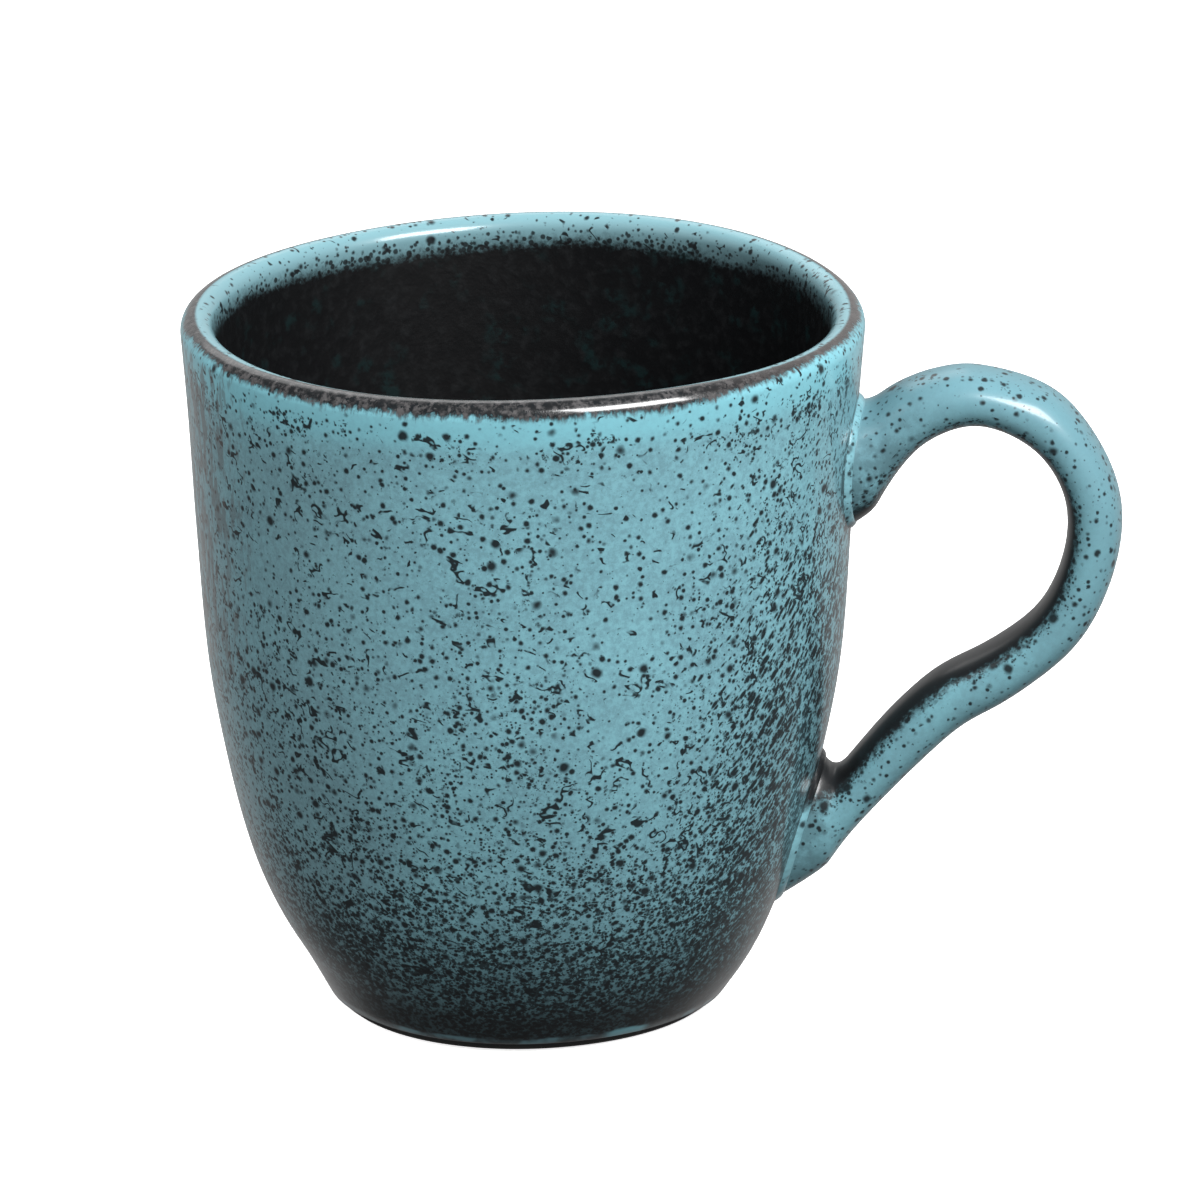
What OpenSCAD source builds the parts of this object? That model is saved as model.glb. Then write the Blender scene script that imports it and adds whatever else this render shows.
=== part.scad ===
// Stoneware mug with a pulled side handle.
// The origin is the centre of the foot ring on the table. +Z is up and the handle points to +X.
// Nothing moves. The clay cup and the clay strap are bonded with slip and coated with three glazes.

/* [Cup] */
// Diameter over the lip, glaze included
rim_d = 90; // [84:1:96]
// Height of the lip above the table
cup_h = 95.5; // [92:0.5:100]
// Thickness of the rounded lip, glaze included
lip_t = 4.4; // [3.8:0.1:5]
// Thickness of the wall low down, glaze included
wall_low_t = 5.2; // [4.8:0.1:6]
// Height of the inside floor above the table
floor_h = 6.5; // [5.5:0.5:8]
// Height of the round corner between the inside floor and the wall
bowl_h = 20; // [14:1:26]

/* [Foot ring] */
// Width of the flat resting ring
foot_ring_w = 4.5; // [3.5:0.5:6]
// Depth of the recess inside the ring
foot_recess_h = 1.5; // [1:0.5:2]
// Radius of the rounded outer edge of the ring
foot_edge_r = 0.8; // [0.5:0.1:1.2]

/* [Glazes] */
// Thickness of each glaze coat
glaze_t = 0.4; // [0.3:0.05:0.6]
// Height above the table where the outer glaze stops
glaze_line_h = 1.3; // [1.3:0.1:3]
// How far the outer glaze laps over the lip and down the inside
glaze_lap_h = 7; // [5:0.5:12]

/* [Handle] */
// Width of the strap at its middle, seen from the side that the fingers hold
strap_w = 12.4; // [11:0.2:14]
// Extra width of the strap where it meets the cup at the top
upper_flare_w = 3.6; // [2:0.2:5]
// Extra width of the strap where it meets the cup at the bottom
lower_flare_w = 2.2; // [1:0.2:4]
// Width of the slip bead around each end of the strap
bead_w = 1.2; // [0.8:0.1:1.6]
// Height of the slip bead up the side of the strap
bead_h = 1.5; // [1.2:0.1:2]

/* [Hidden] */

turquoise = [0.40, 0.66, 0.70];
charcoal = [0.07, 0.08, 0.08];
bare_clay = [0.30, 0.27, 0.25];
slip_grey = [0.45, 0.56, 0.58];

rim_r = rim_d / 2;
lip_r = lip_t / 2;
turn_steps = 120;
strap_sides = 28;
steps_per_rung = 3;
slip_film_t = 0.2;

// Glazed outside of the cup: share of the height, then share of the lip's radius.
wall_line = [
    [0, 0.575], [0.063, 0.655], [0.136, 0.738], [0.230, 0.817], [0.356, 0.884],
    [0.503, 0.937], [0.691, 0.964], [0.859, 0.982], [0.977, 1],
];

// The glazed strap in its side view, in mm: pairs of points across it, [inner edge, outer edge],
// from the upper joint over the loop and down to the lower joint. They are drawn for a cup of
// the size given here, and placed() moves them to the real one.
drawn_rim_r = 45;
drawn_cup_h = 95.5;
drawn_rungs = [
    [[46.5, 69.0], [46.5, 84.0]],
    [[49.5, 74.0], [49.5, 86.0]],
    [[54.0, 78.8], [55.0, 88.0]],
    [[60.5, 81.0], [61.0, 88.3]],
    [[67.5, 77.8], [71.0, 84.8]],
    [[71.5, 71.5], [78.2, 74.2]],
    [[71.7, 64.0], [79.0, 63.8]],
    [[68.5, 56.0], [74.5, 52.0]],
    [[62.0, 50.6], [65.8, 44.0]],
    [[55.0, 46.3], [59.3, 39.6]],
    [[49.0, 40.5], [54.2, 34.8]],
    [[44.7, 35.4], [49.0, 29.2]],
    [[42.4, 32.6], [43.8, 23.2]],
    [[41.0, 32.6], [40.6, 18.6]],
];
function placed(p) = [p.x - drawn_rim_r + rim_r, p.y * cup_h / drawn_cup_h];
inner_line = [for (r = drawn_rungs) placed(r[0])];
outer_line = [for (r = drawn_rungs) placed(r[1])];
rung_n = len(drawn_rungs);

// Where the strap meets the cup: height of the middle, half height and half width of the oval.
upper_root = [75.3 * cup_h / drawn_cup_h, 8.2, (strap_w + upper_flare_w) / 2];
lower_root = [24.0 * cup_h / drawn_cup_h, 9.7, (strap_w + lower_flare_w) / 2];

// Smooth curve through points with rising x, one-sided slopes at the two ends.
function slope(p, i) =
    let (a = p[max(i - 1, 0)], b = p[min(i + 1, len(p) - 1)])
    (b.y - a.y) / (b.x - a.x);
function segment(p, x, i = 0) = (i >= len(p) - 2 || x < p[i + 1].x) ? i : segment(p, x, i + 1);
function curve(p, x) =
    let (i = segment(p, x), w = p[i + 1].x - p[i].x, t = (x - p[i].x) / w)
    p[i].y * (2 * t^3 - 3 * t^2 + 1) + slope(p, i) * w * (t^3 - 2 * t^2 + t)
    + p[i + 1].y * (3 * t^2 - 2 * t^3) + slope(p, i + 1) * w * (t^3 - t^2);

// Catmull-Rom curve through a list of points, at point i plus a fraction t.
function blend(p, i, t) =
    let (
        n = len(p) - 1,
        a = p[max(i - 1, 0)], b = p[i], c = p[min(i + 1, n)], d = p[min(i + 2, n)]
    )
    0.5 * (2 * b + (c - a) * t + (2 * a - 5 * b + 4 * c - d) * t^2 + (3 * b - a - 3 * c + d) * t^3);

// Radii of the cup at height z, on the glaze and in the clay below it.
lip_z = cup_h - lip_r;
function outside(z) = rim_r * curve(wall_line, min(z / cup_h, lip_z / cup_h));
function wall_t(z) = wall_low_t + (lip_t - wall_low_t) * z / lip_z;

// The inside corner is a superellipse that rises from the floor over a height h.
bowl_power = 2.6;
function bowl(z, floor_z, h) =
    let (u = min(max((z - floor_z) / h, 0), 1)) (1 - (1 - u)^bowl_power)^(1 / bowl_power);
function inside(z) = (outside(z) - wall_t(z)) * bowl(z, floor_h, bowl_h);

// Coats keep their thickness across the slope of the wall.
function coat(z) = glaze_t * sqrt(1 + ((outside(z + 1) - outside(z)))^2);
function clay_outside(z) = outside(z) - coat(z);
floor_clay_z = floor_h - glaze_t;
function clay_inside(z) =
    (outside(z) - wall_t(z) + glaze_t) * bowl(z, floor_clay_z, bowl_h + glaze_t);

function rising(from, to, n) = [for (i = [0:n]) from + (to - from) * i / n];
// Heights that are closer together near the floor, where the inside turns sharply.
function easing(from, to, n) = [for (i = [0:n]) from + (to - from) * (i / n)^2];

// Round of the lip with radius r, from one angle to the other, measured from +X.
lip_from_a = 10;
lip_to_a = 170;
lip_steps = 10;
function lip(r) =
    [for (i = [0:lip_steps]) let (a = lip_from_a + (lip_to_a - lip_from_a) * i / lip_steps)
        [rim_r - lip_r + r * cos(a), lip_z + r * sin(a)]];

foot_r = clay_outside(0) - foot_edge_r;
lap_z = cup_h - glaze_lap_h;
wall_steps = 26;
lap_steps = 3;

function reversed(p) = [for (i = [len(p) - 1:-1:0]) p[i]];

module turned(outline) {
    rotate_extrude($fn = turn_steps) polygon(outline);
}

module clay_shape() {
    ring_inner_r = foot_r - foot_ring_w;
    turned(concat(
        [[0, foot_recess_h], [ring_inner_r - foot_recess_h, foot_recess_h], [ring_inner_r, 0], [foot_r, 0]],
        [[clay_outside(0) - foot_edge_r * (1 - sin(45)), foot_edge_r * (1 - sin(45))]],
        [for (z = rising(foot_edge_r, lip_z, wall_steps)) [clay_outside(z), z]],
        lip(lip_r - glaze_t),
        reversed([for (z = easing(floor_clay_z, lip_z, wall_steps)) [clay_inside(z), z]])
    ));
}

module cup_body() {
    color(bare_clay) clay_shape();
}

module outer_glaze() {
    color(turquoise) difference() {
        turned(concat(
            [[clay_outside(glaze_line_h), glaze_line_h]],
            [for (z = rising(glaze_line_h + glaze_t, lip_z, wall_steps)) [outside(z), z]],
            lip(lip_r),
            reversed([for (z = rising(lap_z, lip_z, lap_steps)) [inside(z), z]]),
            [for (z = rising(lap_z, lip_z, lap_steps)) [clay_inside(z), z]],
            reversed(lip(lip_r - glaze_t)),
            reversed([for (z = rising(glaze_line_h + glaze_t, lip_z, wall_steps)) [clay_outside(z), z]])
        ));
        joint_opening(upper_root);
        joint_opening(lower_root);
    }
}

module liner_glaze() {
    color(charcoal) turned(concat(
        [for (z = easing(floor_clay_z, lap_z, wall_steps)) [clay_inside(z), z]],
        reversed([for (z = easing(floor_h, lap_z, wall_steps)) [inside(z), z]])
    ));
}

// The opening in the outer glaze where the slip bonds clay to clay.
module joint_opening(root) {
    outline = [for (k = [0:strap_sides - 1])
        let (q = oval(root, 1 + bead_w / root.z, 360 * k / strap_sides)) [q.x, q.y]];
    rotate([90, 0, 90]) linear_extrude(rim_r + glaze_t) polygon(outline);
}

// A point of a root's oval in the Y-Z view, grown or shrunk by a share.
function oval(root, share, a) = [root.z * share * sin(a), root.x + root.y * share * cos(a)];
// A point in the Y-Z view laid on the clay wall, or lifted off it by a distance.
function on_wall(q, lift) =
    let (r = clay_outside(q.y) + lift) [sqrt(r^2 - q.x^2), q.x, q.y];
function wall_ring(root, share, lift) =
    [for (k = [0:strap_sides - 1]) on_wall(oval(root, share, 360 * k / strap_sides), lift)];

// The strap turns over between its joints, so a ring at the lower one runs from the bottom up.
function flipped(ring) = [for (k = [0:strap_sides - 1]) ring[(strap_sides * 3 / 2 - k) % strap_sides]];
function lower_end(rings) = reversed([for (r = rings) flipped(r)]);

// Half width of the strap s rungs from the upper joint: each flare dies away over a rung or so.
upper_flare_share = 0.7;
lower_flare_share = 0.8;
flare_rungs = 1.1;
function strap_half_w(s) =
    let (
        upper = upper_flare_w * upper_flare_share * exp(-s / flare_rungs),
        lower = lower_flare_w * lower_flare_share * exp((s - rung_n + 1) / flare_rungs)
    )
    (strap_w + upper + lower) / 2;

// Oval rings of the strap across its rungs. The clay's rings shrink by the glaze's thickness.
function strap_ring(i, t, grow) =
    let (
        p = blend(inner_line, i, t), q = blend(outer_line, i, t),
        middle = (p + q) / 2, half = (q - p) / 2,
        reach = half * (1 + grow / norm(half)), w = strap_half_w(i + t) + grow
    )
    [for (k = [0:strap_sides - 1])
        let (a = 360 * k / strap_sides, m = middle + reach * cos(a)) [m.x, w * sin(a), m.y]];
function strap_rings(grow) = concat(
    [for (i = [0:rung_n - 2], j = [0:steps_per_rung - 1]) strap_ring(i, j / steps_per_rung, grow)],
    [strap_ring(rung_n - 1, 0, grow)]
);

// Solid inside a stack of rings, closed at each end by a fan round the point given.
module stack(rings, first, last) {
    n = strap_sides;
    m = len(rings);
    points = concat([for (r = rings) each r], [first, last]);
    sides = [for (i = [0:m - 2], k = [0:n - 1])
        let (a = i * n + k, b = i * n + (k + 1) % n) each [[a, a + n, b], [b, a + n, b + n]]];
    starts = [for (k = [0:n - 1]) [m * n, k, (k + 1) % n]];
    ends = [for (k = [0:n - 1]) let (a = (m - 1) * n) [m * n + 1, a + (k + 1) % n, a + k]];
    polyhedron(points, concat(sides, starts, ends));
}

// A stack of rings that closes on itself, as a tube bent round does.
module closed_stack(rings) {
    n = strap_sides;
    m = len(rings);
    points = [for (r = rings) each r];
    sides = [for (i = [0:m - 1], k = [0:n - 1])
        let (
            a = i * n + k, b = i * n + (k + 1) % n,
            c = ((i + 1) % m) * n + k, d = ((i + 1) % m) * n + (k + 1) % n
        )
        each [[a, c, b], [b, c, d]]];
    polyhedron(points, sides);
}

root_ring_share = 0.96;
film_share = 0.5;
bead_swell_share = 0.42;

// The strap's own end stands on a thin film of slip, and its first ring ends level with the bead.
function end_rings(root) = [
    wall_ring(root, film_share, slip_film_t),
    wall_ring(root, 1, slip_film_t),
    wall_ring(root, root_ring_share, bead_h),
];

module handle() {
    rings = concat(end_rings(upper_root), strap_rings(-glaze_t), lower_end(end_rings(lower_root)));
    color(bare_clay) stack(
        rings,
        on_wall([0, upper_root.x], slip_film_t),
        on_wall([0, lower_root.x], slip_film_t)
    );
}

// The bead's slope is a little hollow half way up. A coat lies on it with a thickness of grow.
function swell_ring(root, grow) =
    let (share = (1 + bead_w / root.z + root_ring_share) / 2)
    wall_ring(root, share + grow / root.z, (glaze_t + bead_h) * bead_swell_share + grow);

// Film under the strap's end, and the bead round it up to the bead's height.
module slip_joint(root) {
    bead_share = 1 + bead_w / root.z;
    stack(
        [
            wall_ring(root, film_share, 0),
            wall_ring(root, 1, 0),
            wall_ring(root, bead_share, 0),
            wall_ring(root, bead_share, glaze_t),
            swell_ring(root, 0),
            wall_ring(root, root_ring_share, bead_h),
            wall_ring(root, 1, slip_film_t),
            wall_ring(root, film_share, slip_film_t),
        ],
        on_wall([0, root.x], 0),
        on_wall([0, root.x], slip_film_t)
    );
}

module upper_slip_joint() {
    color(slip_grey) slip_joint(upper_root);
}

module lower_slip_joint() {
    color(slip_grey) slip_joint(lower_root);
}

// The coat starts as a feather edge on each bead and covers the whole strap.
module handle_glaze() {
    function bead_rings(root, grow) =
        [swell_ring(root, grow), wall_ring(root, root_ring_share + grow / root.z, bead_h + grow)];
    function feather(root) = wall_ring(root, 1 + bead_w / root.z, glaze_t);
    bare = concat(bead_rings(upper_root, 0), strap_rings(-glaze_t), lower_end(bead_rings(lower_root, 0)));
    coated = concat(
        bead_rings(upper_root, glaze_t),
        strap_rings(0),
        lower_end(bead_rings(lower_root, glaze_t))
    );
    color(turquoise) closed_stack(concat(
        [feather(upper_root)], coated, [flipped(feather(lower_root))], reversed(bare)
    ));
}

cup_body();
handle();
upper_slip_joint();
lower_slip_joint();
outer_glaze();
liner_glaze();
handle_glaze();
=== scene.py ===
import math

import bmesh
import bpy
from mathutils import Matrix, Vector


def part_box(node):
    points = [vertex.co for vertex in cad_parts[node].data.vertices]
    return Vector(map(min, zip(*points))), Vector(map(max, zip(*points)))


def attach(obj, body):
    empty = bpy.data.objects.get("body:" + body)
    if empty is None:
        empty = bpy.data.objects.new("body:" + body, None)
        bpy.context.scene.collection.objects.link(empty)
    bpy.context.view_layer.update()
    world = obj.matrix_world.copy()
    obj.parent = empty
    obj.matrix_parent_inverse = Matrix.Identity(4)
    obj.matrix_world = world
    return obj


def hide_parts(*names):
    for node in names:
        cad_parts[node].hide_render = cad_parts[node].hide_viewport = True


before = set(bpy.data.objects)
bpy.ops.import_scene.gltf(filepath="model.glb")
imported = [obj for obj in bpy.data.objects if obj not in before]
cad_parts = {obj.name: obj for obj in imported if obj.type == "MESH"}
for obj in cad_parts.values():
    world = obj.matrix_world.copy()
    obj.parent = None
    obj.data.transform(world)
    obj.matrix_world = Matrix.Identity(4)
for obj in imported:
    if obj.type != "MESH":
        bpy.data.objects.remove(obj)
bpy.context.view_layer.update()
mm = 0.001
print("frame loaded:", len(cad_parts), "nodes")


class Wire:
    # A number that varies over a surface. Sums of wires add their Math nodes.
    def __init__(self, shading, socket):
        self.shading = shading
        self.socket = socket

    def out(self, name):
        return Wire(self.shading, self.socket.node.outputs[name])

    def maths(self, operation, *values):
        sockets = {place: value for place, value in enumerate(values)}
        return self.shading.node("Math", {"operation": operation}, sockets)

    def __add__(self, other):
        return self.maths("ADD", self, other)

    def __radd__(self, other):
        return self.maths("ADD", other, self)

    def __sub__(self, other):
        return self.maths("SUBTRACT", self, other)

    def __rsub__(self, other):
        return self.maths("SUBTRACT", other, self)

    def __mul__(self, other):
        return self.maths("MULTIPLY", self, other)

    def __rmul__(self, other):
        return self.maths("MULTIPLY", other, self)

    def __truediv__(self, other):
        return self.maths("DIVIDE", self, other)

    def __pow__(self, other):
        return self.maths("POWER", self, other)

    def __abs__(self):
        return self.maths("ABSOLUTE", self)

    def most(self, other):
        return self.maths("MAXIMUM", self, other)

    def least(self, other):
        return self.maths("MINIMUM", self, other)

    def below(self, other):
        return self.maths("LESS_THAN", self, other)

    def angleTo(self, other):
        return self.maths("ARCTAN2", self, other)

    def ramp(self, start, end, low, high, kind="LINEAR"):
        # From low at start to high at end, and level outside them.
        return self.shading.node("MapRange", {"interpolation_type": kind}, {
            "Value": self, "From Min": start, "From Max": end, "To Min": low, "To Max": high})

    def fade(self, start, end, low=0.0, high=1.0):
        return self.ramp(start, end, low, high, "SMOOTHSTEP")


class Shading:
    # A node tree that is built from nothing.
    def __init__(self, tree):
        self.tree = tree
        tree.nodes.clear()

    def node(self, kind, settings={}, sockets={}):
        made = self.tree.nodes.new("ShaderNode" + kind)
        for name, value in settings.items():
            setattr(made, name, value)
        for name, value in sockets.items():
            if isinstance(value, Wire):
                self.tree.links.new(value.socket, made.inputs[name])
            else:
                made.inputs[name].default_value = value
        return Wire(self, made.outputs[0]) if made.outputs else None


class Paint(Shading):
    # One material, and the nodes that the finishes are made of. Places are in mm.
    def __init__(self, name):
        self.material = bpy.data.materials.new(name)
        self.material.use_nodes = True
        super().__init__(self.material.node_tree)
        metres = self.node("TexCoord").out("Object")
        self.place = self.node("VectorMath", {"operation": "SCALE"}, {0: metres, "Scale": 1 / mm})
        parts = self.node("SeparateXYZ", {}, {0: self.place})
        self.x = parts.out("X")
        self.y = parts.out("Y")
        self.z = parts.out("Z")

    def stretched(self, direction, share):
        # The place, squeezed along a direction, so that a pattern there is drawn out along it.
        dot = self.node("VectorMath", {"operation": "DOT_PRODUCT"}, {0: self.place, 1: direction})
        along = dot.out("Value") * (share - 1)
        back = self.node("VectorMath", {"operation": "SCALE"}, {0: direction, "Scale": along})
        return self.node("VectorMath", {"operation": "ADD"}, {0: self.place, 1: back})

    def shifted(self, steps):
        return self.node("VectorMath", {"operation": "ADD"}, {0: self.place, 1: steps})

    def mixed(self, share, first, second):
        mix = self.node("Mix", {"data_type": "RGBA"}, {0: share, 6: first, 7: second})
        return Wire(self, mix.socket.node.outputs[2])

    def noise(self, size, detail=2.0, rough=0.5, twist=0.0, place=None):
        return self.node("TexNoise", {}, {
            "Vector": place or self.place, "Scale": 1 / size,
            "Detail": detail, "Roughness": rough, "Distortion": twist})

    def cells(self, size, place=None):
        return self.node("TexVoronoi", {}, {"Vector": place or self.place, "Scale": 1 / size})

    def attribute(self, name):
        return self.node("Attribute", {"attribute_name": name}).out("Fac")

    def shader(self, colour, rough, sockets={}, height=None, depth=0.0):
        # Depth, in mm, is how far a height of 1 lifts the surface.
        made = self.node("BsdfPrincipled", {}, {"Base Color": colour, "Roughness": rough, **sockets})
        if height is not None:
            bump = self.node("Bump", {}, {"Height": height, "Distance": depth * mm, "Strength": 1.0})
            self.tree.links.new(bump.socket, made.socket.node.inputs["Normal"])
        return made

    def finish(self, shader):
        self.node("OutputMaterial", {}, {"Surface": shader})
        return self.material


view = {"azimuth": 5.0, "elevation": 18.34, "distance": 1.0, "lens": 225.2, "aim": (10.3, 0.9, 54.5)}


def fromAngles(azimuth, elevation, distance, aim):
    # A place at an azimuth from -Y towards +X, an elevation and a distance round an aim.
    a = math.radians(azimuth)
    e = math.radians(elevation)
    direction = Vector((math.sin(a) * math.cos(e), -math.cos(a) * math.cos(e), math.sin(e)))
    return aim + direction * distance


def lookAt(thing, aim):
    thing.rotation_euler = (aim - thing.location).to_track_quat("-Z", "Y").to_euler()


def makeCamera():
    aim = Vector(view["aim"]) * mm
    data = bpy.data.cameras.new("camera")
    camera = bpy.data.objects.new("camera", data)
    bpy.context.scene.collection.objects.link(camera)
    data.sensor_width = 36
    data.lens = view["lens"]
    data.clip_start = 0.05
    camera.location = fromAngles(view["azimuth"], view["elevation"], view["distance"], aim)
    lookAt(camera, aim)
    bpy.context.scene.camera = camera


# Angles are as seen from the cup, distances and sides in metres. Mirrored says whether the glazes show it.
softboxes = {
    "key": {
        "azimuth": 45, "elevation": 45, "distance": 0.75, "sides": (0.44, 0.30), "watts": 11.0,
        "mirrored": True},
    "fill": {
        "azimuth": -70, "elevation": 35, "distance": 0.9, "sides": (0.6, 0.6), "watts": 5.2,
        "mirrored": False},
    "back": {
        "azimuth": 200, "elevation": 40, "distance": 0.9, "sides": (0.6, 0.4), "watts": 0.8,
        "mirrored": True},
    "aimHeight": 50,
}


def makeLights():
    aim = Vector((0, 0, softboxes["aimHeight"] * mm))
    for name in ("key", "fill", "back"):
        box = softboxes[name]
        data = bpy.data.lights.new(name, "AREA")
        data.shape = "RECTANGLE"
        data.size, data.size_y = box["sides"]
        data.energy = box["watts"]
        lamp = bpy.data.objects.new(name, data)
        bpy.context.scene.collection.objects.link(lamp)
        lamp.location = fromAngles(box["azimuth"], box["elevation"], box["distance"], aim)
        lookAt(lamp, aim)
        lamp.visible_glossy = box["mirrored"]


# Strengths of the white room: seen by the camera, mirrored in front and behind, and as light from
# above and below. The ranges are of the direction's Y and Z.
room = {
    "seen": 1.0, "front": 0.08, "backdrop": 0.45, "above": 0.52, "below": 0.34,
    "backRange": (0.2, 0.9), "upRange": (-0.4, 0.4),
}


def makeRoom():
    world = bpy.data.worlds.new("studio")
    bpy.context.scene.world = world
    world.use_nodes = True
    studio = Shading(world.node_tree)
    direction = studio.node("SeparateXYZ", {}, {0: studio.node("TexCoord").out("Generated")})
    path = studio.node("LightPath")
    light = direction.out("Z").ramp(*room["upRange"], room["below"], room["above"])
    mirrored = direction.out("Y").fade(*room["backRange"], room["front"], room["backdrop"])
    strength = path.out("Is Glossy Ray").ramp(0, 1, light, mirrored)
    strength = path.out("Is Camera Ray").ramp(0, 1, strength, room["seen"])
    white = studio.node("Background", {}, {"Color": (1, 1, 1, 1), "Strength": strength})
    studio.node("OutputWorld", {}, {"Surface": white})


paperFloor = {"halfSide": 3, "drop": 0.05, "glow": 0.8, "grain": 30}


def makeFloor():
    bm = bmesh.new()
    bmesh.ops.create_grid(bm, x_segments=1, y_segments=1, size=paperFloor["halfSide"])
    bmesh.ops.translate(bm, verts=bm.verts, vec=(0, 0, -paperFloor["drop"] * mm))
    mesh = bpy.data.meshes.new("floor")
    bm.to_mesh(mesh)
    bm.free()
    floor = bpy.data.objects.new("floor", mesh)
    bpy.context.scene.collection.objects.link(floor)
    paper = Paint("pale_paper")
    grain = paper.noise(paperFloor["grain"])
    colour = paper.mixed(grain, (0.88, 0.88, 0.88, 1), (0.9, 0.9, 0.9, 1))
    glow = {"Emission Color": (1, 1, 1, 1), "Emission Strength": paperFloor["glow"]}
    mesh.materials.append(paper.finish(paper.shader(colour, grain.fade(0.3, 0.7, 0.8, 0.85), glow)))
    floor.visible_diffuse = False
    floor.visible_glossy = False


makeCamera()
makeLights()
makeRoom()
makeFloor()
bpy.context.scene.view_settings.view_transform = "Standard"
print("camera, light, room and floor made")


outerLow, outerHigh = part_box("outer_glaze")
linerLow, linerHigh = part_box("liner_glaze")

# The turned cup, in mm. The first four and the floor are read from the frame.
cup = {
    "rimR": outerHigh.x / mm, "height": outerHigh.z / mm,
    "glazeLine": outerLow.z / mm, "linerTop": linerHigh.z / mm,
    "lip": 4.4, "wallLow": 5.2, "bowl": 20.0, "bowlPower": 2.6, "glaze": 0.4,
    "footRing": 4.5, "footRecess": 1.5, "footEdge": 0.8,
    "turnSteps": 216,
    # Share of the height, then share of the lip's radius.
    "wall": [(0, 0.575), (0.063, 0.655), (0.136, 0.738), (0.230, 0.817), (0.356, 0.884),
             (0.503, 0.937), (0.691, 0.964), (0.859, 0.982), (0.977, 1)],
}
cup["floor"] = linerLow.z / mm + cup["glaze"]
cup["lipR"] = cup["lip"] / 2
cup["lipZ"] = cup["height"] - cup["lipR"]


def smoothCurve(points, x):
    # Smooth curve through points with rising x, one-sided slopes at the two ends.
    last = len(points) - 1
    i = next((k for k in range(last) if x < points[k + 1][0]), last - 1)

    def slope(k):
        a = points[max(k - 1, 0)]
        b = points[min(k + 1, last)]
        return (b[1] - a[1]) / (b[0] - a[0])

    width = points[i + 1][0] - points[i][0]
    t = (x - points[i][0]) / width
    near = points[i][1] * (2 * t**3 - 3 * t**2 + 1) + slope(i) * width * (t**3 - 2 * t**2 + t)
    far = points[i + 1][1] * (3 * t**2 - 2 * t**3) + slope(i + 1) * width * (t**3 - t**2)
    return near + far


def smoothStep(x, start, end):
    t = min(max((x - start) / (end - start), 0), 1)
    return t * t * (3 - 2 * t)


def outside(z):
    return cup["rimR"] * smoothCurve(cup["wall"], min(z, cup["lipZ"]) / cup["height"])


def inside(z, coat=0.0):
    # The drink's side of the wall. A coat moves it into the clay.
    wall = cup["wallLow"] + (cup["lip"] - cup["wallLow"]) * z / cup["lipZ"]
    u = min(max((z - cup["floor"] + coat) / (cup["bowl"] + coat), 0), 1)
    power = cup["bowlPower"]
    return (outside(z) - wall + coat) * (1 - (1 - u) ** power) ** (1 / power)


def clayOutside(z):
    slope = outside(z + 1) - outside(z)
    return outside(z) - cup["glaze"] * math.sqrt(1 + slope * slope)


def heights(start, end, steps, power=1.0):
    return [start + (end - start) * (k / steps) ** power for k in range(steps + 1)]


def lipArc(radius, steps=14):
    # Round of the lip from its outside, over the top and to its inside.
    middle = cup["rimR"] - cup["lipR"]
    angles = [math.radians(180 * k / steps) for k in range(1, steps)]
    return [(middle + radius * math.cos(a), cup["lipZ"] + radius * math.sin(a)) for a in angles]


# Hand-made waves: (waves in a turn, cosine part, sine part) in mm. A lean has its middle height,
# its reach and its sideways shift.
waves = {
    "rimHeight": [(0, -0.08, 0), (1, 0.5, 0.62), (2, -0.27, 0.15), (3, -0.28, 0)],
    "rimRadius": [(1, 0.08, 0), (3, 0.15, -0.1)], "rimFrom": 20,
    "footRadius": [(2, 0.2, -0.1), (3, 0.4, -0.1)], "footTo": (2, 34),
    "lean": [(45, 24, 0.28), (7, 5.5, 0.5)],
    "keepOff": (2.5, 9.0),  # they die away between these distances from the wall, for the handle's sake
}


def waveSum(parts, angle):
    return sum(c * math.cos(n * angle) + s * math.sin(n * angle) for n, c, s in parts)


def handMade(point):
    # Moves a point of the exact round cup to where the potter's hand left it.
    x, y, z = (value / mm for value in point)
    r = math.hypot(x, y)
    if r < 1e-6:
        return point
    angle = math.atan2(y, x)
    wall = outside(max(z, 0))
    share = 1 - smoothStep(r - wall, *waves["keepOff"])
    rim = waveSum(waves["rimRadius"], angle) * smoothStep(z, waves["rimFrom"], cup["height"])
    foot = waveSum(waves["footRadius"], angle) * (1 - smoothStep(z, *waves["footTo"]))
    r2 = r + share * min(r / wall, 1) * (rim + foot)
    lean = sum(shift * math.exp(-((z - middle) / reach) ** 2) for middle, reach, shift in waves["lean"])
    x2 = r2 * math.cos(angle) + share * lean
    z2 = z + share * waveSum(waves["rimHeight"], angle) * smoothStep(z, 0, cup["height"])
    return Vector((x2, r2 * math.sin(angle), z2)) * mm


creaseAngle = math.radians(40)


def stored(bm, name, material, node):
    for vert in bm.verts:
        vert.co = handMade(vert.co)
    for face in bm.faces:
        face.smooth = True
    for edge in bm.edges:
        edge.smooth = not edge.is_manifold or edge.calc_face_angle() < creaseAngle
    mesh = bpy.data.meshes.new(name)
    bm.to_mesh(mesh)
    bm.free()
    mesh.materials.append(material)
    piece = bpy.data.objects.new(name, mesh)
    bpy.context.scene.collection.objects.link(piece)
    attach(piece, "root")
    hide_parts(node)
    print(name, "made:", len(mesh.polygons), "faces")
    return piece


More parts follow.
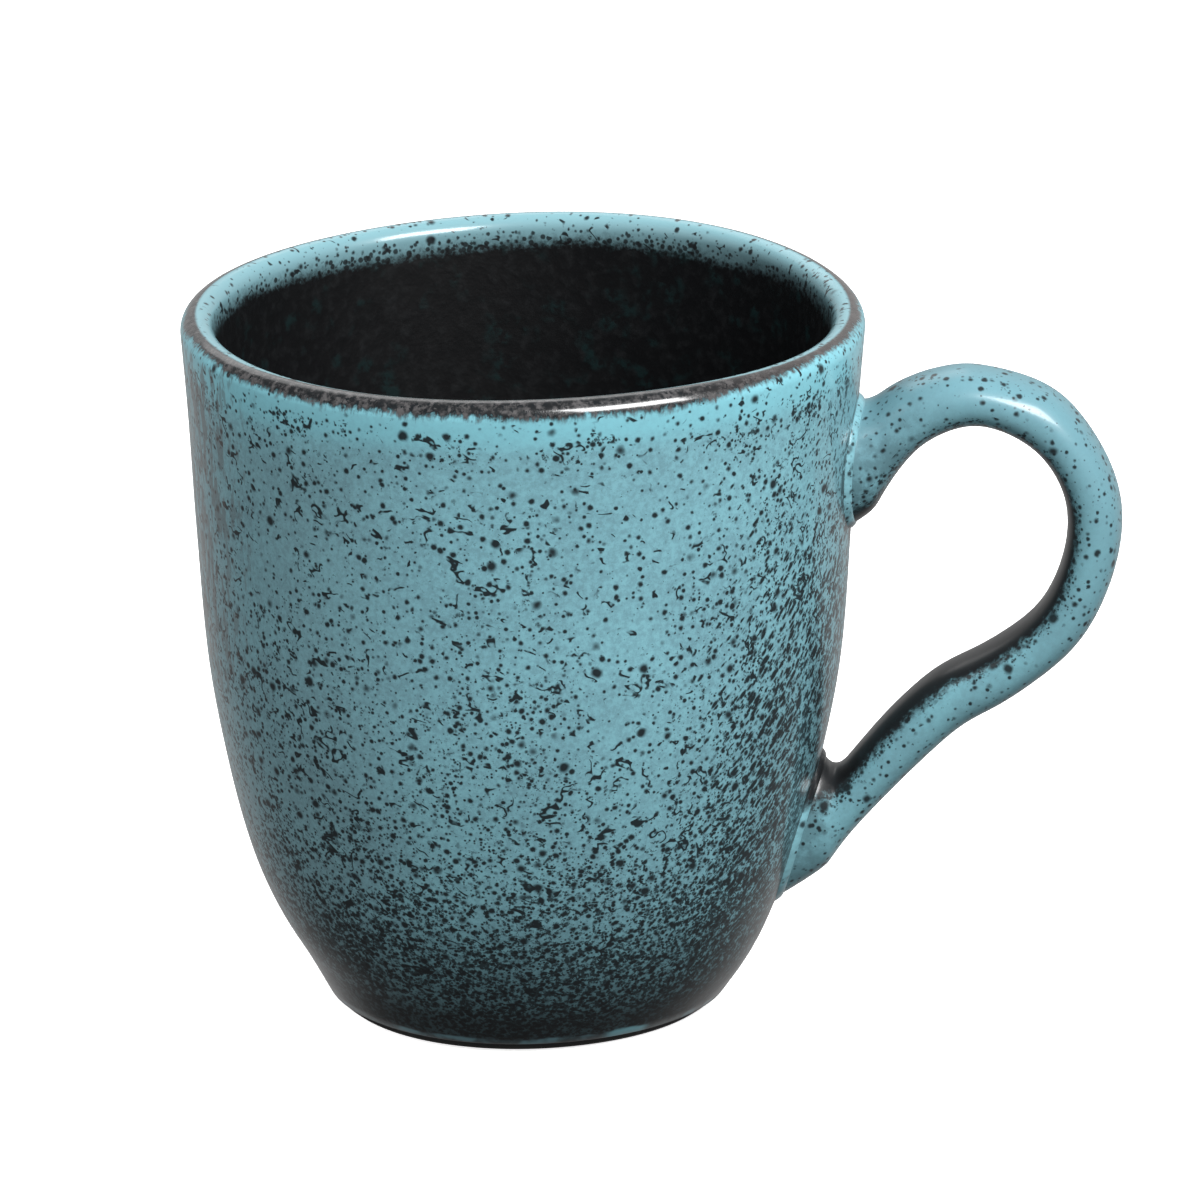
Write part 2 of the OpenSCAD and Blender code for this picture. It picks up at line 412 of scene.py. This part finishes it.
def turned(outline, closed):
    # Spins an outline of (radius, height) in mm round the cup's axis.
    bm = bmesh.new()
    verts = [bm.verts.new(Vector((r, 0, z)) * mm) for r, z in outline]
    edges = [bm.edges.new(pair) for pair in zip(verts, verts[1:])]
    if closed:
        edges.append(bm.edges.new((verts[-1], verts[0])))
    bmesh.ops.spin(
        bm, geom=verts + edges, cent=(0, 0, 0), axis=(0, 0, 1), angle=2 * math.pi,
        steps=cup["turnSteps"], use_merge=True)
    bmesh.ops.remove_doubles(bm, verts=bm.verts, dist=0.001 * mm)
    bmesh.ops.recalc_face_normals(bm, faces=bm.faces)
    return bm


tints = {
    "turquoise": (0.150, 0.325, 0.372, 1),
    "turquoiseClean": (0.148, 0.362, 0.420, 1),
    "turquoiseDull": (0.100, 0.205, 0.240, 1),
    # Colour of the painted sheen on the lip.
    "sheenTurquoise": (0.160, 0.303, 0.340, 1),
    "handleTeal": (0.135, 0.300, 0.345, 1),
    "speck": (0.007, 0.009, 0.0105, 1),
    "charcoal": (0.009, 0.010, 0.011, 1),
    "taupe": (0.062, 0.060, 0.061, 1),
    "brown": (0.060, 0.052, 0.050, 1),
    "liner": (0.0028, 0.0030, 0.0034, 1),
    "linerTeal": (0.0035, 0.0095, 0.010, 1),
    "linerGrey": (0.0060, 0.0066, 0.0072, 1),
    "clay": (0.030, 0.028, 0.027, 1),
}


def specks(paint, size, radius, present, place=None, ragged=0.2, soft=0.11):
    # Round iron specks: one in each cell, radius in shares of a cell, some cells left out.
    cells = paint.cells(size, place)
    luck = paint.node("SeparateColor", {}, {0: cells.out("Color")})
    reach = radius * luck.out("Green").fade(0, 1, 0.6, 1.05)
    edge = cells.out("Distance") + (paint.noise(size * 0.4, 1) - 0.5) * ragged
    return (reach - edge).fade(-soft, soft) * luck.out("Red").below(present)


# Crooked lines: size of the noise, half their width, their breaks' size, and how they follow the amount.
wormLines = {
    "size": 2.8, "width": 0.024, "breaks": 2.0, "present": (0, 0.3, -0.01, 0.09),
    "direction": (0.93, 0, -0.37), "drawnOut": 0.55,
}


def worms(paint, amount):
    # Lines where a noise crosses its middle, cut into short lengths by another noise.
    width = wormLines["width"]
    place = paint.stretched(wormLines["direction"], wormLines["drawnOut"])
    ridge = abs(paint.noise(wormLines["size"], 2, 0.5, 0.3, place) - 0.5)
    line = (width - ridge).fade(-width * 0.4, width * 0.4)
    cut = paint.noise(wormLines["breaks"], 1, 0.5, 0, paint.shifted((31, 7, 5)))
    return line * (cut + amount.fade(*wormLines["present"])).fade(0.59, 0.65)


# Layers of iron specks: size of a cell in mm, then how the radius and the share of cells that hold
# a speck rise with the amount of iron.
bigSpecks = {"size": 2.7, "radius": 0.24, "present": (0.0, 0.3, 0.12, 0.55)}
speckLayers = [
    {"size": 1.55, "radius": (0, 0.6, 0.25, 0.33), "present": (0, 0.3, 0.42, 0.95)},
    {"size": 1.0, "radius": (0, 0.6, 0.26, 0.40), "present": (0, 0.35, 0.3, 0.95)},
    {"size": 0.62, "radius": (0.05, 0.6, 0.22, 0.44), "present": (0.06, 0.38, 0.08, 0.95)},
]


def ironSpecks(paint, density, crooked):
    # How dark the iron makes the glaze. Density is roughly the share that it covers.
    cluster = paint.noise(8, 2).fade(0.3, 0.7, -1, 1) * density.least(0.10)
    amount = density + cluster * 0.55
    dark = specks(paint, bigSpecks["size"], bigSpecks["radius"], amount.fade(*bigSpecks["present"]))
    for layer in speckLayers:
        radius = amount.fade(*layer["radius"])
        dark = dark.most(specks(paint, layer["size"], radius, amount.fade(*layer["present"])))
    if crooked:
        dark = dark.most(worms(paint, amount))
    net = (paint.noise(0.75, 3, 0.7) + (amount.least(0.55) - 0.5) * 0.45).fade(0.46, 0.56)
    return dark.most(net * 0.92)


def mottled(paint, size, first, second, patchy, grainy):
    # A glaze between two tints, in wide patches and fine grains. Also gives the grain.
    mottle = paint.noise(size, 3, 0.55).fade(0.3, 0.7)
    grain = paint.noise(0.8, 4, 0.75).fade(0.35, 0.65)
    return paint.mixed(mottle * patchy + grain * grainy, tints[first], tints[second]), grain


def clayFinish():
    paint = Paint("stoneware_clay")
    grain = paint.noise(0.5, 3, 0.7)
    grit = specks(paint, 0.9, 0.3, 0.4)
    colour = paint.mixed(grain, tints["charcoal"], tints["clay"])
    colour = paint.mixed(grit * 0.5, colour, tints["taupe"])
    return paint.finish(paint.shader(colour, grain.fade(0.2, 0.8, 0.75, 0.92), {}, grain, 0.12))


def makeCup():
    footR = clayOutside(0) - cup["footEdge"]
    ringR = footR - cup["footRing"]
    recess = cup["footRecess"]
    corner = cup["footEdge"] * (1 - math.sin(math.radians(45)))
    outline = [(0, recess), (ringR * 0.5, recess), (ringR - recess, recess), (ringR, 0), (footR, 0)]
    outline += [(clayOutside(0) - corner, corner)]
    outline += [(clayOutside(z), z) for z in heights(cup["footEdge"], cup["lipZ"], 36)]
    outline += lipArc(cup["lipR"] - cup["glaze"])
    bowl = heights(cup["floor"] - cup["glaze"], cup["lipZ"], 30, 2)
    outline += [(inside(z, cup["glaze"]), z) for z in reversed(bowl)]
    return stored(turned(outline, False), "cup", clayFinish(), "cup_body")


# The black liner. Its shine is the Principled shader's specular level.
liner = {"grain": 1.6, "patch": 4, "rough": (0.48, 0.54), "shine": 0.15, "relief": 0.1}


def linerShader(paint):
    mottle = paint.noise(liner["grain"], 3, 0.6)
    patch = paint.noise(liner["patch"], 2, 0.5, 0, paint.shifted((5, 5, 5)))
    colour = paint.mixed(mottle.fade(0.45, 0.75), tints["liner"], tints["linerGrey"])
    colour = paint.mixed(patch.fade(0.52, 0.68) * mottle.fade(0.4, 0.6), colour, tints["linerTeal"])
    rough = paint.noise(3, 2).fade(0.3, 0.7, *liner["rough"])
    return paint.shader(colour, rough, {"Specular IOR Level": liner["shine"]}, mottle, liner["relief"])


def makeLinerGlaze():
    coat = cup["glaze"]
    outline = [(inside(z, coat), z) for z in heights(cup["floor"] - coat, cup["linerTop"], 40, 2)]
    outline += [(inside(z), z) for z in reversed(heights(cup["floor"], cup["linerTop"], 40, 2))]
    paint = Paint("black_liner_glaze")
    material = paint.finish(linerShader(paint))
    return stored(turned(outline, False), "blackLiner", material, "liner_glaze")


strap = {
    "width": 12.4, "upperFlare": 3.6, "lowerFlare": 2.2, "beadW": 1.2,
    "drawnRimR": 45.0, "drawnHeight": 95.5,  # the cup's size for which the rungs were drawn
    "sides": 32, "steps": 3, "squareness": 0.9,
    # Pairs of points across the strap in its side view, (inner edge), (outer edge).
    "rungs": [
        ((46.5, 69.0), (46.5, 84.0)), ((49.5, 74.0), (49.5, 86.0)), ((54.0, 78.8), (55.0, 88.0)),
        ((60.6, 81.0), (61.1, 88.3)), ((67.7, 77.8), (71.2, 84.8)), ((71.7, 71.5), (78.4, 74.2)),
        ((71.9, 63.9), (79.2, 63.7)), ((68.7, 55.9), (74.7, 51.9)), ((62.2, 50.4), (66.0, 43.8)),
        ((55.0, 46.3), (59.3, 39.6)), ((49.0, 40.5), (54.2, 34.8)), ((44.7, 35.4), (49.0, 29.2)),
        ((42.4, 32.6), (43.8, 23.2)), ((41.0, 32.6), (40.6, 18.6)),
    ],
}


def rootOf(node):
    # The oval of a joint on the wall: height of its middle, half its height and half its width.
    low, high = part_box(node)
    halfW = high.y / mm - strap["beadW"]
    grown = high.y / mm / halfW
    return {"z": (low.z + high.z) / 2 / mm, "halfH": (high.z - low.z) / 2 / mm / grown, "halfW": halfW}


upperRoot = rootOf("upper_slip_joint")
lowerRoot = rootOf("lower_slip_joint")

# The outer glaze. Heights and distances from the lip's crest are in mm, turns in degrees from the
# handle. Each pair or four is a fade: start, end, and the values there if they are not 0 and 1.
outer = {
    # Where the iron crowds: towards the handle, down the wall, at the foot and in a row under the lip.
    "handleTurn": 6, "nearHandle": (20, 62, 1, 0), "handleIron": (92, 44, 0.09, 0.10),
    "upperIron": (93, 87, 0.0, 0.12), "lowerIron": (80, 40, 0, 0.11), "footIron": (40, 10, 0, 0.28),
    "row": {"top": (92, 90.5), "bottom": (85.5, 89), "patch": 6, "share": 0.25},
    # A paler upright patch in front.
    "paleTurn": 66, "paleWidth": (14, 4), "paleHeight": (30, 50), "pale": 0.5,
    # Steep dashes beside the handle: sizes of the cells.
    "besideHeight": (90, 50, 0.2, 1), "fleck": 1.05, "dash": 0.7,
    "steep": (0.5, 0.5, 0.707), "steepness": 0.42,
    # The colour under the iron, with a painted sheen of greyer turquoise over the crest and inside of the
    # lip.
    "cleanBand": (9, 5), "lipSheen": (1.5, -0.3), "smokyFoot": (26, 4), "smoky": 0.66, "smokySide": 0.08,
    "farBrown": {"x": (-26, -42), "y": (22, -6), "z": (30, 55), "crest": (1, 4), "share": 0.7},
    # The foot, its torn turquoise line and the bare strip in front.
    "foot": (9, 4.5), "tornHeight": 2.0, "stripTurn": 54, "stripWidth": (8, 4),
    # The worn lip.
    "worn": (3.7, 2.6), "wornFrom": (-0.1, 0.4), "wornRight": (22, 45, 0, 1.5),
    "wornLeft": (-14, -40, 0, 1.1), "wornFront": (-26, -42, 0, 0.7),
    # The meeting with the liner, and where the painted shade inside the lip starts.
    "frayed": (-3.3, -5.9), "shadeFrom": (-0.3, -4.2),
    "coat": 0.55, "wornCoat": 0.3, "coatRough": 0.14, "shine": 0.2, "rough": (0.32, 0.38), "relief": 0.25,
}


def markRim(bm):
    # Distance from the crest of the lip along the surface, in mm: positive down the outside.
    layer = bm.verts.layers.float.new("fromCrest")
    quarter = cup["lipR"] * math.pi / 2
    for vert in bm.verts:
        r = math.hypot(vert.co.x, vert.co.y) / mm
        z = vert.co.z / mm
        if z > cup["lipZ"]:
            angle = math.atan2(z - cup["lipZ"], r - cup["rimR"] + cup["lipR"])
            vert[layer] = quarter - angle * cup["lipR"]
        elif r > (outside(z) + inside(z)) / 2:
            vert[layer] = quarter + cup["lipZ"] - z
        else:
            vert[layer] = z - cup["lipZ"] - quarter


def outerIron(paint, turn, beside, nearHandle):
    z = paint.z
    row = outer["row"]
    pale = abs(turn + outer["paleTurn"]).fade(*outer["paleWidth"]) * z.fade(*outer["paleHeight"])
    sparse = 1 - pale * outer["pale"]
    patches = paint.noise(row["patch"], 2, 0.5, 0, paint.shifted((3, 60, 9))).fade(0.45, 0.6)
    wall = (z.fade(*outer["upperIron"]) + z.fade(*outer["lowerIron"])) * sparse + z.fade(*outer["footIron"])
    band = z.fade(*row["top"]) * z.fade(*row["bottom"]) * patches * row["share"]
    dark = ironSpecks(paint, wall + band + nearHandle * z.fade(*outer["handleIron"]), True)
    steep = paint.stretched(outer["steep"], outer["steepness"])
    flecks = specks(paint, outer["fleck"], beside.fade(0, 1, 0.2, 0.42), beside.fade(0, 0.9), steep)
    dashes = specks(paint, outer["dash"], beside.fade(0, 1, 0.2, 0.44), beside.fade(0, 0.9, 0, 0.9), steep)
    return dark.most(flecks).most(dashes)


def outerColour(paint, crest, beside, dark):
    z = paint.z
    glaze, grain = mottled(paint, 14, "turquoise", "turquoiseDull", 0.35, 0.65)
    glaze = paint.mixed(crest.fade(*outer["cleanBand"]) * (1 - grain * 0.2), glaze, tints["turquoiseClean"])
    # Painted sheen: the lip's crest and inside are mixed towards a greyer turquoise.
    glaze = paint.mixed(crest.fade(*outer["lipSheen"]), glaze, tints["sheenTurquoise"])
    glaze = paint.mixed(z.fade(*outer["smokyFoot"]) * outer["smoky"], glaze, tints["charcoal"])
    glaze = paint.mixed(beside.fade(0.5, 1.0) * outer["smokySide"], glaze, tints["charcoal"])
    # Painted shade: on the left side the glaze is mixed towards brown below the lip, more so low on the
    # wall.
    shaded = paint.x.fade(-4, -28) * (crest.fade(6, 14) * 0.24 + z.fade(60, 25) * 0.12)
    glaze = paint.mixed(shaded, glaze, tints["brown"])
    colour = paint.mixed(dark * 0.97, glaze, tints["speck"])
    far = outer["farBrown"]
    farSide = paint.x.fade(*far["x"]) * paint.y.fade(*far["y"]) * z.fade(*far["z"])
    farSide = farSide * crest.fade(*far["crest"])
    smear = paint.noise(1.6, 3, 0.7, 0, paint.stretched((0, 0, 1), 0.3)) + farSide * 0.14
    return paint.mixed(smear.fade(0.60, 0.68) * farSide * far["share"], colour, tints["brown"]), grain


def withCreaseShade(paint, colour):
    # Painted shade: dark dashes in the crease just outside each joint of the handle, where the slip bead
    # meets the wall.
    rings = []
    for root in (upperRoot, lowerRoot):
        across = paint.y / root["halfW"]
        up = (paint.z - root["z"]) / root["halfH"]
        oval = (across * across + up * up) ** 0.5 + (paint.noise(1.5, 2) - 0.5) * 0.14
        rings.append(oval.fade(1.10, 1.15) * oval.fade(1.34, 1.24))
    creaseShade = rings[0].most(rings[1]) * paint.x.fade(5, 15) * paint.noise(1.6, 2).fade(0.42, 0.50)
    return paint.mixed(creaseShade * 0.95, colour, tints["speck"])


def withFoot(paint, colour, turn, grain):
    # Near-black foot with a torn line of turquoise just above the table.
    colour = paint.mixed(paint.z.fade(*outer["foot"]) * (0.78 - grain * 0.3), colour, tints["charcoal"])
    torn = (paint.noise(6, 2) - 0.5) * 1.8 + paint.z
    spots = paint.noise(4, 2, 0.5, 0, paint.shifted((9, 0, 0))).fade(0.46, 0.6)
    fringe = abs(torn - outer["tornHeight"]).fade(0.65, 0.2) * (spots * 0.75 + 0.2)
    colour = paint.mixed(fringe, colour, tints["turquoiseDull"])
    front = abs(turn + outer["stripTurn"]).fade(*outer["stripWidth"])
    strip = abs(torn - outer["tornHeight"] - 0.1).fade(0.8, 0.3) * front
    return paint.mixed(strip, colour, tints["turquoiseClean"])


def withWornLip(paint, colour, crest):
    # Crest of the lip where the glaze ran thin, streaked down its outer edge.
    streak = paint.noise(0.55, 3, 0.65, 0, paint.stretched((0, 0, 1), 0.25))
    patch = paint.noise(1.1, 3, 0.65)
    wide = paint.noise(11, 2)
    edge = crest + (streak - 0.5) * 1.8 + (patch - 0.5) * 1.6 + (wide - 0.5) * 2.0
    edge = edge + paint.x.fade(*outer["wornRight"]) + paint.x.fade(*outer["wornLeft"])
    start = (crest + paint.y.fade(*outer["wornFront"])).fade(*outer["wornFrom"])
    worn = edge.fade(*outer["worn"]) * start
    tint = paint.mixed(patch.fade(0.34, 0.60), tints["taupe"], tints["charcoal"])
    tint = paint.mixed(streak.fade(0.52, 0.62), tint, tints["speck"])
    tint = paint.mixed(paint.x.fade(22, 44) * 0.6, tint, tints["brown"])
    return paint.mixed(worn, colour, tint), worn, streak


def withInnerLap(paint, colour, crest):
    # Inside the lip, the turquoise breaks up towards the black liner, and painted shade darkens it, more
    # towards the right side.
    fringe = specks(paint, 0.8, crest.fade(-1.8, -4.6, 0.15, 0.5), crest.fade(-1.2, -4.5, 0.1, 0.9))
    colour = paint.mixed(fringe * crest.fade(-1.0, -2.0) * 0.9, colour, tints["speck"])
    shade = crest.fade(*outer["shadeFrom"]) * (0.35 + paint.x.fade(0, 40) * 0.45)
    return paint.mixed(shade, colour, tints["charcoal"])


def outerGlazeFinish():
    paint = Paint("turquoise_glaze")
    crest = paint.attribute("fromCrest")
    turn = paint.y.angleTo(paint.x) * (180 / math.pi)
    nearHandle = abs(turn + outer["handleTurn"]).fade(*outer["nearHandle"])
    beside = nearHandle * paint.z.fade(*outer["besideHeight"])
    dark = outerIron(paint, turn, beside, nearHandle)
    colour, grain = outerColour(paint, crest, beside, dark)
    colour = withFoot(paint, withCreaseShade(paint, colour), turn, grain)
    colour, worn, streak = withWornLip(paint, colour, crest)
    colour = withInnerLap(paint, colour, crest)
    ripple = paint.noise(12, 2) * 0.5 + paint.noise(1.4, 2) * 0.06 + dark * 0.02 + worn * streak * 0.12
    rough = paint.noise(3, 2).fade(0.3, 0.7, *outer["rough"]) - worn * 0.08
    coat = {
        "Coat Weight": worn * outer["wornCoat"] + outer["coat"], "Coat Roughness": outer["coatRough"],
        "Specular IOR Level": outer["shine"]}
    turquoise = paint.shader(colour, rough, coat, ripple, outer["relief"])
    frayed = crest + (paint.noise(0.8, 3, 0.75) - 0.5) * 2.6 + (paint.noise(20, 1) - 0.5) * 2.4
    black = frayed.fade(*outer["frayed"])
    return paint.finish(paint.node("MixShader", {}, {0: black, 1: turquoise, 2: linerShader(paint)}))


def makeOuterGlaze():
    coat = cup["glaze"]
    start = cup["glazeLine"]
    outline = [(clayOutside(start), start)]
    outline += [(outside(z), z) for z in heights(start + coat, cup["lipZ"], 64)]
    outline += lipArc(cup["lipR"], 24)
    outline += [(inside(z), z) for z in reversed(heights(cup["linerTop"], cup["lipZ"], 10))]
    outline += [(inside(z, coat), z) for z in heights(cup["linerTop"], cup["lipZ"], 6)]
    outline += reversed(lipArc(cup["lipR"] - coat))
    outline += [(clayOutside(z), z) for z in reversed(heights(start + coat, cup["lipZ"], 36))]
    bm = turned(outline, True)
    markRim(bm)
    return stored(bm, "turquoiseGlaze", outerGlazeFinish(), "outer_glaze")


makeCup()
makeOuterGlaze()
makeLinerGlaze()
print("cup and its glazes made")


def placed(point):
    x, z = point
    return Vector((x - strap["drawnRimR"] + cup["rimR"], 0, z * cup["height"] / strap["drawnHeight"]))


def blended(points, i, t):
    # Catmull-Rom curve between point i and the next.
    last = len(points) - 1
    a, b, c, d = (points[min(max(i + k, 0), last)] for k in (-1, 0, 1, 2))
    return 0.5 * (2 * b + (c - a) * t + (2 * a - 5 * b + 4 * c - d) * t**2 + (3 * b - a - 3 * c + d) * t**3)


def ringAt(bm, middle, across, halfW, squareness=1.0):
    # One oval loop of the strap: across is half of its thickness as a vector, width along Y.
    inner = bm.verts.layers.float.get("innerSide")
    side = Vector((0, halfW, 0))
    forward = across.cross(side).normalized()
    turn = Matrix((across, side, forward)).transposed().to_4x4()
    ring = bmesh.ops.create_circle(bm, segments=strap["sides"], radius=1)["verts"]
    for vert in ring:
        if inner:
            vert[inner] = -vert.co.x
        vert.co.x = math.copysign(abs(vert.co.x) ** squareness, vert.co.x)
        vert.co.y = math.copysign(abs(vert.co.y) ** squareness, vert.co.y)
    bmesh.ops.transform(bm, matrix=Matrix.Translation(middle) @ turn, verts=ring)
    return ring


def wallRing(bm, root, share, lift):
    # A loop laid on the clay wall round a joint, or lifted off it.
    middle = Vector((0, 0, root["z"]))
    outward = 1 if root is upperRoot else -1
    ring = ringAt(bm, middle, Vector((0, 0, root["halfH"] * share * outward)), root["halfW"] * share)
    for vert in ring:
        r = clayOutside(vert.co.z) + lift
        vert.co.x = math.sqrt(r * r - vert.co.y ** 2)
    return ring


def edgesOf(ring):
    verts = set(ring)
    touching = {edge for vert in ring for edge in vert.link_edges}
    return [edge for edge in touching if edge.verts[0] in verts and edge.verts[1] in verts]


def bridged(bm, rings, closed=False):
    pairs = list(zip(rings, rings[1:])) + ([(rings[-1], rings[0])] if closed else [])
    for first, second in pairs:
        bmesh.ops.bridge_loops(bm, edges=edgesOf(first) + edgesOf(second))


def flareAt(s, last):
    # How much wider the strap is at rung s, where it meets the wall at either end.
    upper = strap["upperFlare"] * 0.7 * math.exp(-s / 1.1)
    return upper + strap["lowerFlare"] * 0.8 * math.exp((s - last) / 1.1)


def strapRings(bm, coat):
    innerEdge = [placed(rung[0]) for rung in strap["rungs"]]
    outerEdge = [placed(rung[1]) for rung in strap["rungs"]]
    last = len(innerEdge) - 1
    rings = []
    for k in range(last * strap["steps"] + 1):
        i = min(k // strap["steps"], last - 1)
        s = k / strap["steps"]
        p = blended(innerEdge, i, s - i)
        q = blended(outerEdge, i, s - i)
        half = (q - p) / 2
        halfW = (strap["width"] + flareAt(s, last)) / 2 - coat
        rings.append(ringAt(bm, (p + q) / 2, half * (1 - coat / half.length), halfW, strap["squareness"]))
    return rings


def handleRings(bm, coat, wallLoops):
    # All loops of the handle. The wall loops are (share of the joint's oval, lift off the clay).
    upper = [wallRing(bm, upperRoot, share, lift) for share, lift in wallLoops]
    middle = strapRings(bm, coat)
    lower = [wallRing(bm, lowerRoot, share, lift) for share, lift in reversed(wallLoops)]
    return upper + middle + lower


def inMetres(bm):
    bmesh.ops.recalc_face_normals(bm, faces=bm.faces)
    bmesh.ops.scale(bm, verts=bm.verts, vec=(mm, mm, mm))


def smoothed(piece, count):
    smooth = piece.modifiers.new("smooth", "SUBSURF")
    smooth.levels = count
    smooth.render_levels = count
    return piece


handleClay = {"wallLoops": [(1.0, 0.2), (0.96, 1.1)], "levels": 1}


def makeHandleClay():
    bm = bmesh.new()
    rings = handleRings(bm, cup["glaze"], handleClay["wallLoops"])
    bridged(bm, rings)
    for ring in (rings[0], rings[-1]):
        bmesh.ops.contextual_create(bm, geom=edgesOf(ring))
    inMetres(bm)
    return smoothed(stored(bm, "handle", clayFinish(), "handle"), handleClay["levels"])


# The handle's glaze. Along runs from 0 at the upper joint to 1 at the lower one. Inner runs from -1 on
# the outer edge of the loop to 1 on its inner edge.
handleCoat = {
    "wallLoops": [(1.04, 0.3), (0.99, 1.2)], "levels": 2, "thickness": 0.3,
    "iron": 0.075, "lowerIron": (0.6, 1.0, 0, 0.06), "innerIron": (0.0, 0.9, 0, 0.35),
    "outerIron": (-0.5, -0.9, 0, 0.05),
    # Painted shade: the top of the upper arch, on the loop's outer edge, is mixed towards dull turquoise.
    "topShadeAlong": (0.7, 0.35), "topShadeInner": (0.9, -0.5), "topShade": 0.75,
    "upperJoint": (0.26, 0.06), "lowerJoint": (0.88, 0.98), "smoky": 0.42,
    # How far the charcoal reaches out of the loop's inner side along the strap, and near its top end.
    "reach": (0.15, 0.42, -0.14, 0.20), "topReach": (0.13, 0.03, 0, 0.30), "charcoal": (0.58, 0.95),
    "coat": {"Coat Weight": 0.36, "Coat Roughness": 0.18, "Specular IOR Level": 0.25},
    "rough": (0.32, 0.38), "relief": 0.25,
}


def handleGlazeFinish():
    paint = Paint("turquoise_handle_glaze")
    inner = paint.attribute("innerSide")
    along = paint.attribute("along")
    density = handleCoat["iron"] + along.fade(*handleCoat["lowerIron"])
    density = density + inner.fade(*handleCoat["innerIron"]) + inner.fade(*handleCoat["outerIron"])
    dark = ironSpecks(paint, density, False)
    glaze, grain = mottled(paint, 9, "handleTeal", "turquoiseDull", 0.4, 0.4)
    # Painted shade on the top of the upper arch of the handle.
    top = along.fade(*handleCoat["topShadeAlong"]) * inner.fade(*handleCoat["topShadeInner"])
    glaze = paint.mixed(top * handleCoat["topShade"], glaze, tints["turquoiseDull"])
    joints = along.fade(*handleCoat["upperJoint"]).most(along.fade(*handleCoat["lowerJoint"]))
    smoke = (paint.noise(2.5, 4, 0.7) + 0.05).fade(0.40, 0.62)
    smoky = joints * inner.fade(-1.2, 0.3) * smoke * handleCoat["smoky"]
    glaze = paint.mixed(smoky, glaze, tints["charcoal"])
    colour = paint.mixed(dark * 0.95, glaze, tints["speck"])
    reach = along.fade(*handleCoat["reach"]) + along.fade(*handleCoat["topReach"])
    fray = inner + (paint.noise(1.0, 3, 0.75) - 0.5) * 0.7 + reach
    colour = paint.mixed(fray.fade(*handleCoat["charcoal"]), colour, tints["charcoal"])
    rough = paint.noise(3, 2).fade(0.3, 0.7, *handleCoat["rough"])
    ripple = paint.noise(9, 2) * 0.4 + paint.noise(1.4, 2) * 0.05
    return paint.finish(paint.shader(colour, rough, handleCoat["coat"], ripple, handleCoat["relief"]))


def makeHandleGlaze():
    bm = bmesh.new()
    bm.verts.layers.float.new("innerSide")
    along = bm.verts.layers.float.new("along")
    rings = handleRings(bm, 0, handleCoat["wallLoops"])
    for k, ring in enumerate(rings):
        for vert in ring:
            vert[along] = k / (len(rings) - 1)
    bridged(bm, rings)
    inMetres(bm)
    piece = stored(bm, "handleGlaze", handleGlazeFinish(), "handle_glaze")
    smoothed(piece, handleCoat["levels"])
    skin = piece.modifiers.new("coat", "SOLIDIFY")
    skin.thickness = handleCoat["thickness"] * mm
    skin.offset = -1
    return piece


# The slip beads: steps outwards and off the wall round the section, and for each bead the heights
# between which it turns from turquoise to charcoal, on the side that looks into the loop.
slip = {
    "section": [
        (-0.9, 0.3), (-0.5, 1.1), (0.0, 1.25), (0.45, 0.95),
        (0.8, 0.5), (0.95, 0.1), (0.9, -0.2), (0.2, -0.1)],
    "upperDark": (68.5, 66.5), "lowerDark": (28.0, 30.0), "levels": 2,
    "coat": {"Coat Weight": 0.6, "Coat Roughness": 0.14, "Specular IOR Level": 0.3}, "relief": 0.08,
}


def slipFinish(name, darkHeights):
    paint = Paint(name)
    dark = ironSpecks(paint, paint.noise(4, 2).fade(0.3, 0.7, 0.05, 0.16), False)
    mottle = paint.noise(2, 2).fade(0.3, 0.7)
    glaze = paint.mixed(mottle * 0.6, tints["turquoise"], tints["turquoiseDull"])
    colour = paint.mixed(dark * 0.9, glaze, tints["speck"])
    edge = paint.z + (paint.noise(1.3, 3, 0.7) - 0.5) * 3
    colour = paint.mixed(edge.fade(*darkHeights), colour, tints["charcoal"])
    return paint.finish(paint.shader(colour, mottle * 0.06 + 0.30, slip["coat"], mottle, slip["relief"]))


def makeSlipJoint(name, root, node, darkHeights):
    bm = bmesh.new()
    rings = [wallRing(bm, root, 1 + out / root["halfW"], lift) for out, lift in slip["section"]]
    bridged(bm, rings, True)
    inMetres(bm)
    return smoothed(stored(bm, name, slipFinish(name + "_glaze", darkHeights), node), slip["levels"])


makeHandleClay()
makeHandleGlaze()
makeSlipJoint("upperSlip", upperRoot, "upper_slip_joint", slip["upperDark"])
makeSlipJoint("lowerSlip", lowerRoot, "lower_slip_joint", slip["lowerDark"])
print("handle, its glaze and its joints made")
